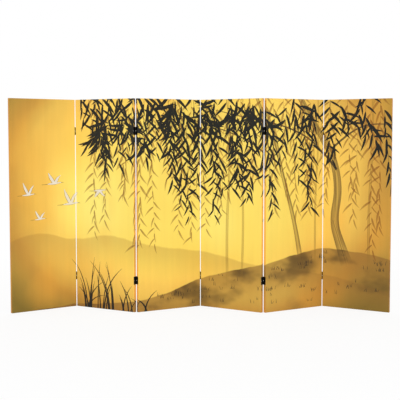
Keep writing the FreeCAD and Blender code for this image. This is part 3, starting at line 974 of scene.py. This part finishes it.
# Printed cotton canvas: plain woven and primed, so matt, with the ink in the cloth and a faint dry sheen
def printed_canvas(name, bank, far_ridge, glows, shift):
    """The picture's ground and ink on woven cloth. The shift moves its noise, so that two differ."""
    made, tree, shader = new_material(name)
    uv = add(tree, "ShaderNodeUVMap", uv_map="picture").outputs[0]
    across, up, _ = add(tree, "ShaderNodeSeparateXYZ", {0: uv}).outputs

    def noise(scale_mm, stretch=(1, 1), detail=2.0, place=0.0):
        moves = {
            "Location": (place + shift, place + shift, 0),
            "Scale": (1000 / scale_mm / stretch[0], 1000 / scale_mm / stretch[1], 1),
        }
        return noise_at(tree, mapped(tree, uv, moves), 1.0, detail)

    def away(value, centre, reach, power):
        gone = maths(tree, "DIVIDE", maths(tree, "SUBTRACT", value, centre), reach)
        return maths(tree, "POWER", maths(tree, "ABSOLUTE", gone), power)

    def washed(base, cover, hex_code):
        return mixed(tree, cover, base, linear(hex_code))

    def toned(base, tone):
        grey = add(tree, "ShaderNodeCombineColor", {0: tone, 1: tone, 2: tone}).outputs[0]
        return mixed(tree, 1.0, base, grey, "MULTIPLY")

    # Gold ground: darker towards both ends, the foot and the top, with bright clouds and warm patches
    gone = maths(tree, "MULTIPLY", away(across, 1.17, 1.2, 2.6), 0.64)
    gone = maths(tree, "MULTIPLY_ADD", away(up, 0.72, 0.68, 2.6), 0.47, gone)
    gone = maths(tree, "ADD", gone, maths(tree, "MULTIPLY_ADD", noise(420, detail=3.0), 0.22, -0.11))
    colour = ramp(
        tree,
        gone,
        [
            (0.0, "#FFE36B"),
            (0.16, "#FFDB63"),
            (0.3, "#FDD05F"),
            (0.47, "#E8BC55"),
            (0.6, "#CE9C43"),
            (0.76, "#B08B3B"),
            (1.0, "#87702E"),
        ],
    )
    for centre, reach, cover in glows:
        aside = away(across, centre[0], reach[0], 2.0)
        near = maths(tree, "ADD", aside, away(up, centre[1], reach[1], 2.0))
        cloud = ranged(tree, maths(tree, "SQRT", near), 0.0, 0.9, cover, 0.0)
        colour = washed(colour, cloud, "#FFF588")
    colour = washed(colour, ranged(tree, noise(360, (1, 1.6), 2.0, 3.0), 0.5, 0.72, 0.0, 0.4), "#F3AF42")
    colour = toned(colour, maths(tree, "MULTIPLY_ADD", noise(28, (1, 16), 3.0), 0.12, 0.94))
    # Painted shade: the turned edges of the cloth, where the folded panels shade each other, are washed a
    # darker, warmer orange than the face, standing in for the shade and the warm light bounced between the
    # panels
    edge = add(tree, "ShaderNodeAttribute", attribute_name="edge").outputs["Fac"]
    colour = washed(colour, maths(tree, "MULTIPLY", edge, 0.42), "#FAA238")

    # Distant hills and the bank, soft washes that fade towards their feet
    def ridge(places, soft, depth, place):
        curve = add(tree, "ShaderNodeFloatCurve", {1: maths(tree, "DIVIDE", across, PICTURE_WIDTH)})
        line = curve.mapping.curves[0]
        while len(line.points) < len(places):
            line.points.new(0.5, 0.5)
        for point, spot in zip(line.points, places):
            point.location = spot
        curve.mapping.update()
        top = maths(tree, "MULTIPLY", curve.outputs[0], PICTURE_HEIGHT)
        rough = maths(tree, "MULTIPLY_ADD", noise(150, (1, 3), 3.0, place), 0.03, -0.015)
        below = maths(tree, "SUBTRACT", maths(tree, "ADD", top, rough), up)
        return ranged(tree, below, 0.0, soft), ranged(tree, below, 0.0, depth, 1.0, 0.0)

    inside, foot = ridge(far_ridge, 0.012, 0.2, 7.0)
    body = maths(tree, "MULTIPLY", maths(tree, "MULTIPLY", inside, foot), 0.32)
    colour = washed(colour, body, "#A07236")
    inside, foot = ridge(bank, 0.006, 0.34, 1.0)
    body = maths(tree, "MULTIPLY", inside, maths(tree, "MULTIPLY_ADD", foot, 0.56, 0.1))
    colour = washed(colour, body, "#8E642E")
    smudge = ranged(tree, noise(170, (1.6, 1), 3.0, 5.0), 0.47, 0.68, 0.0, 0.8)
    smudge = maths(tree, "MULTIPLY", smudge, inside)
    smudge = maths(tree, "MULTIPLY", smudge, maths(tree, "MULTIPLY_ADD", foot, 0.8, 0.2))
    colour = washed(colour, smudge, "#4A3820")

    # Ink of the drawing, thinned here and there as by a drying brush
    paint = add(tree, "ShaderNodeAttribute", attribute_name="paint").outputs
    dry = ranged(tree, noise(7, (1, 3), 3.0, 2.0), 0.3, 0.75, 1.0, 0.985)
    colour = mixed(tree, maths(tree, "MULTIPLY", paint["Alpha"], dry), colour, paint["Color"])

    # The weave is 0.7 mm in a real canvas, and is drawn twice as coarse so that it shows
    threads = []
    for turn in (0.0, math.pi / 2):
        turned = mapped(tree, uv, {"Rotation": (0, 0, turn)})
        threads.append(bands(tree, turned, "X", DRAWN_THREAD_PITCH, 0.6, 1.0, 0.4))
    weave = maths(tree, "MULTIPLY", threads[0], threads[1])
    # Tone from the weave: a little lighter on the thread tops and darker in the dips between threads, painted
    # light and shade that follow the weave's height
    colour = toned(colour, maths(tree, "MULTIPLY_ADD", weave, 0.08, 0.96))
    height = maths(tree, "ADD", weave, maths(tree, "MULTIPLY", noise(3, (1, 9), 2.0), 0.5))
    raised(tree, shader, height, 0.35, 0.25 * MM)
    tree.links.new(colour, shader.inputs["Base Color"])
    tree.links.new(ranged(tree, weave, 0.0, 1.0, 0.86, 0.74), shader.inputs["Roughness"])
    shader.inputs["IOR"].default_value = 1.45
    shader.inputs["Specular IOR Level"].default_value = 0.25
    shader.inputs["Sheen Weight"].default_value = 0.05
    shader.inputs["Sheen Roughness"].default_value = 0.6
    return made


# Black lacquered steel: stamped and rolled plate under a satin coat, with a few rubbed grey spots
def black_lacquer(name, hex_code, rub_share):
    """Black coated steel, with a fine orange peel and its share of rub."""
    made, tree, shader = new_material(name)
    where = add(tree, "ShaderNodeTexCoord").outputs["Object"]
    orange_peel = noise_at(tree, where, 900.0, 2.0)
    rubbed = ranged(tree, noise_at(tree, where, 240.0, 4.0), 0.62, 0.78, 0.0, rub_share)
    colour = mixed(tree, rubbed, linear(hex_code), linear("#3A3A3C"))
    tree.links.new(colour, shader.inputs["Base Color"])
    tree.links.new(ranged(tree, orange_peel, 0.2, 0.8, 0.3, 0.46), shader.inputs["Roughness"])
    raised(tree, shader, orange_peel, 0.15, 0.05 * MM)
    shader.inputs["Specular IOR Level"].default_value = 0.2
    shader.inputs["Coat Weight"].default_value = 0.08
    shader.inputs["Coat Roughness"].default_value = 0.25
    return made


# Drawn steel wire: plain, with fine scratches along the pin
def drawn_steel(name):
    """Bare steel with scratches a quarter of a millimetre wide that run up the pin."""
    made, tree, shader = new_material(name)
    where = add(tree, "ShaderNodeTexCoord").outputs["Object"]
    scratch = noise_at(tree, mapped(tree, where, {"Scale": (4000.0, 4000.0, 60.0)}), 1.0, 3.0)
    colour = ramp(tree, scratch, [(0.3, "#94928D"), (0.7, "#BDBAB4")])
    tree.links.new(colour, shader.inputs["Base Color"])
    tree.links.new(ranged(tree, scratch, 0.2, 0.8, 0.32, 0.5), shader.inputs["Roughness"])
    shader.inputs["Metallic"].default_value = 1.0
    return made


# Planed pine: pale and dry, with straight growth rings along the bar
def planed_pine(name, turn, upright):
    """Pine whose grain runs up, or level at a turn about the upright."""
    made, tree, shader = new_material(name)
    where = add(tree, "ShaderNodeTexCoord").outputs["Object"]
    stretch = (1.0, 1.0, 0.04) if upright else (0.04, 1.0, 1.0)
    grain = mapped(tree, mapped(tree, where, {"Rotation": (0, 0, -turn)}), {"Scale": stretch})
    rings = bands(tree, grain, "DIAGONAL", RING_SPACING, 5.0, 2.0, 0.6)
    pores = noise_at(tree, grain, 700.0, 3.0)
    colour = ramp(tree, rings, [(0.0, "#E6C48E"), (0.7, "#DDB379"), (1.0, "#B98548")])
    colour = mixed(tree, ranged(tree, pores, 0.5, 0.8, 0.0, 0.25), colour, linear("#A4713B"))
    tree.links.new(colour, shader.inputs["Base Color"])
    tree.links.new(ranged(tree, pores, 0.2, 0.8, 0.52, 0.68), shader.inputs["Roughness"])
    raised(tree, shader, pores, 0.3, 0.15 * MM)
    return made


def paint_node(name, material):
    """Gives a carried-over piece its finish on its own slots."""
    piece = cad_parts[name]
    if not piece.material_slots:
        piece.data.materials.append(material)
    for slot in piece.material_slots:
        slot.link = "OBJECT"
        slot.material = material


# Canvas pieces
FRONT_CANVAS = printed_canvas(
    "printed cotton canvas, front",
    FRONT_BANK,
    FRONT_RIDGE,
    (((0.5, 0.6), (0.42, 0.45), 0.75), ((1.3, 0.48), (0.26, 0.28), 0.48)),
    0.0,
)
BACK_CANVAS = printed_canvas(
    "printed cotton canvas, back",
    BACK_BANK,
    BACK_RIDGE,
    (((1.3, 0.66), (0.7, 0.6), 0.75),),
    20.0,
)
FRONT_PICTURE = front_drawing()
BACK_PICTURE = back_drawing()
PLACES = {number: panel_place(number) for number in PANELS}
for number in PANELS:
    _, (wide, deep, high) = PLACES[number]
    size = (wide, high)
    front = canvas_piece(
        f"front_canvas_{number}", FRONT_PICTURE, number, size, 0.0, turned_profile(deep), ARC_STEPS + 1
    )
    front.data.materials.append(FRONT_CANVAS)
    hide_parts(f"canvas_front_{number}")
    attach(front, f"panel_{number}")
    size = (wide - 2 * BACK_MARGIN, high - 2 * BACK_MARGIN)
    glued = [(0.0, 0.0, 0.0), (0.0, CANVAS_THICKNESS, CANVAS_THICKNESS)]
    back = canvas_piece(
        f"back_canvas_{number}", BACK_PICTURE, number, size, deep + CANVAS_THICKNESS, glued, 0, back=True
    )
    back.data.materials.append(BACK_CANVAS)
    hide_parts(f"canvas_back_{number}")
    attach(back, f"panel_{number}")

# Finishes of the carried-over pieces
UPRIGHT_PINE = planed_pine("planed pine, upright", 0.0, True)
LACQUER = black_lacquer("satin black lacquered steel", "#070708", 0.2)
SCREW_BLACK = black_lacquer("black oxide screw", "#141415", 0.5)
PIN_STEEL = drawn_steel("drawn steel wire")
for number in PANELS:
    across = PLACES[number][0].to_3x3() @ Vector((1, 0, 0))
    level_pine = planed_pine(f"planed pine, level {number}", math.atan2(across.y, across.x), False)
    for side in ("left", "right"):
        paint_node(f"stile_{side}_{number}", UPRIGHT_PINE)
    paint_node(f"cross_rails_{number}", level_pine)
    paint_node(f"mid_rail_{number}", level_pine)
    paint_node(f"hinge_leaves_{number}", LACQUER)
    paint_node(f"hinge_screws_{number}", SCREW_BLACK)
for number in FOLDS:
    paint_node(f"hinge_links_{number}", LACQUER)
    paint_node(f"hinge_pins_{number}", PIN_STEEL)

for spare in (LEAF, SLIM_LEAF):
    bpy.data.objects.remove(spare)

# Floor: white paper to the camera, with the faint shadow of the screen
bpy.ops.mesh.primitive_grid_add(x_subdivisions=4, y_subdivisions=4, size=FLOOR_SIZE)
floor = bpy.context.object
floor.name = "floor"
paper, paper_tree, paper_shader = new_material("white studio floor")
paper_shader.inputs["Base Color"].default_value = linear("#FAFAFA")
paper_shader.inputs["Roughness"].default_value = 0.9
seen = seen_rays(paper_tree)
bright = add(paper_tree, "ShaderNodeEmission", {"Strength": 1.0})
gone = add(paper_tree, "ShaderNodeTexCoord").outputs["Object"]
gone = add(paper_tree, "ShaderNodeVectorMath", {0: gone}, operation="LENGTH").outputs["Value"]
white = ranged(paper_tree, gone, 1.0, 3.5, 0.88, 0.99)
lit = add(paper_tree, "ShaderNodeMixShader", {0: maths(paper_tree, "MULTIPLY", seen, white)})
paper_tree.links.new(paper_shader.outputs[0], lit.inputs[1])
paper_tree.links.new(bright.outputs[0], lit.inputs[2])
paper_tree.links.new(lit.outputs[0], paper_tree.nodes["Material Output"].inputs[0])
floor.data.materials.append(paper)

# World: white where it is seen, a plain soft light on the object
world = bpy.data.worlds.new("white studio")
bpy.context.scene.world = world
world.use_nodes = True
world_tree = world.node_tree
seen = seen_rays(world_tree)
strength = add(world_tree, "ShaderNodeMapRange", {0: seen, 3: SKY_STRENGTH, 4: 1.0}).outputs[0]
sky = world_tree.nodes["Background"]
sky.inputs["Color"].default_value = (1, 1, 1, 1)
world_tree.links.new(strength, sky.inputs["Strength"])


def soft_lamp(name, place, power):
    """A large square lamp aimed at the middle of the screen."""
    data = bpy.data.lights.new(name, "AREA")
    data.shape = "SQUARE"
    data.size = LAMP_SIZE
    data.energy = power
    made = bpy.data.objects.new(name, data)
    bpy.context.scene.collection.objects.link(made)
    made.location = place
    aim = Vector(LAMP_AIM) - Vector(place)
    made.rotation_euler = aim.to_track_quat("-Z", "Y").to_euler()


soft_lamp("front_softbox", (0.0, -6.0, 3.0), 140)
soft_lamp("rear_softbox", (0.0, 6.0, 3.0), 110)

# Camera
camera_data = bpy.data.cameras.new("camera")
camera_data.sensor_width = SENSOR_WIDTH
camera_data.sensor_fit = "HORIZONTAL"
camera_data.lens = FOCAL_LENGTH
camera = bpy.data.objects.new("camera", camera_data)
bpy.context.scene.collection.objects.link(camera)
camera.location = CAMERA_PLACE
camera.rotation_euler = (math.pi / 2 - CAMERA_DIP, 0, CAMERA_TURN)
bpy.context.scene.camera = camera
bpy.context.scene.view_settings.view_transform = "Standard"
